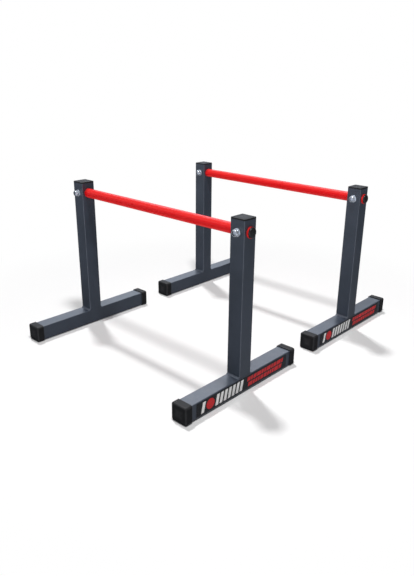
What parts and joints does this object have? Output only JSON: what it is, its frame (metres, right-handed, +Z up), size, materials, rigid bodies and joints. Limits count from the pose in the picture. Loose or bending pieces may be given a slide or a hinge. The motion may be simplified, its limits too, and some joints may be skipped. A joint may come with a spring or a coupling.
{
  "type": "low parallel bars",
  "caption": "Low free-standing parallel bars: round grip bars bolted through square-tube uprights on T-shaped feet with plastic end caps.",
  "frame": {"origin": "on the floor, midway between the two stands and midway between the front and rear legs, with the stands at their pictured spacing", "axes": "+X across the bars, along the feet, from the left stand to the right stand; +Y along the grip bars, from the labelled front to the rear; +Z up"},
  "size_m": [1.112, 0.8018, 0.5325],
  "materials": {
    "graphite_coat": "satin graphite powder coat",
    "red_coat": "glossy red powder coat",
    "black_plastic": "fine-textured black moulded polyethylene",
    "plug_plastic": "smooth black moulded polyethylene",
    "zinc_plate": "bright blue-white zinc plating",
    "dark_nylon": "dark nylon insert",
    "label_film": "printed vinyl film, black with plain white and red shapes"
  },
  "bodies": {
    "left_stand": {"left_grip_bar": "red_coat", "left_front_foot_tube": "graphite_coat", "left_front_foot_cap_left": "black_plastic", "left_front_foot_cap_right": "black_plastic", "left_front_upright": "graphite_coat", "left_front_weld_bead": "graphite_coat", "left_front_top_cap": "black_plastic", "left_front_bar_plug": "plug_plastic", "left_front_head_washer": "zinc_plate", "left_front_bolt": "zinc_plate", "left_front_nut_washer": "zinc_plate", "left_front_lock_nut": "zinc_plate", "left_front_nylon_ring": "dark_nylon", "left_rear_foot_tube": "graphite_coat", "left_rear_foot_cap_left": "black_plastic", "left_rear_foot_cap_right": "black_plastic", "left_rear_upright": "graphite_coat", "left_rear_weld_bead": "graphite_coat", "left_rear_top_cap": "black_plastic", "left_rear_bar_plug": "plug_plastic", "left_rear_head_washer": "zinc_plate", "left_rear_bolt": "zinc_plate", "left_rear_nut_washer": "zinc_plate", "left_rear_lock_nut": "zinc_plate", "left_rear_nylon_ring": "dark_nylon", "left_front_label": "label_film"},
    "right_stand": {"right_grip_bar": "red_coat", "right_front_foot_tube": "graphite_coat", "right_front_foot_cap_left": "black_plastic", "right_front_foot_cap_right": "black_plastic", "right_front_upright": "graphite_coat", "right_front_weld_bead": "graphite_coat", "right_front_top_cap": "black_plastic", "right_front_bar_plug": "plug_plastic", "right_front_head_washer": "zinc_plate", "right_front_bolt": "zinc_plate", "right_front_nut_washer": "zinc_plate", "right_front_lock_nut": "zinc_plate", "right_front_nylon_ring": "dark_nylon", "right_rear_foot_tube": "graphite_coat", "right_rear_foot_cap_left": "black_plastic", "right_rear_foot_cap_right": "black_plastic", "right_rear_upright": "graphite_coat", "right_rear_weld_bead": "graphite_coat", "right_rear_top_cap": "black_plastic", "right_rear_bar_plug": "plug_plastic", "right_rear_head_washer": "zinc_plate", "right_rear_bolt": "zinc_plate", "right_rear_nut_washer": "zinc_plate", "right_rear_lock_nut": "zinc_plate", "right_rear_nylon_ring": "dark_nylon", "right_front_label": "label_film"}
  },
  "joints": [
    {"name": "right_stand_spacing", "type": "slide", "parent": "left_stand", "child": "right_stand", "axis": [1, 0, 0], "range_m": [-0.1, 0.3]}
  ]
}
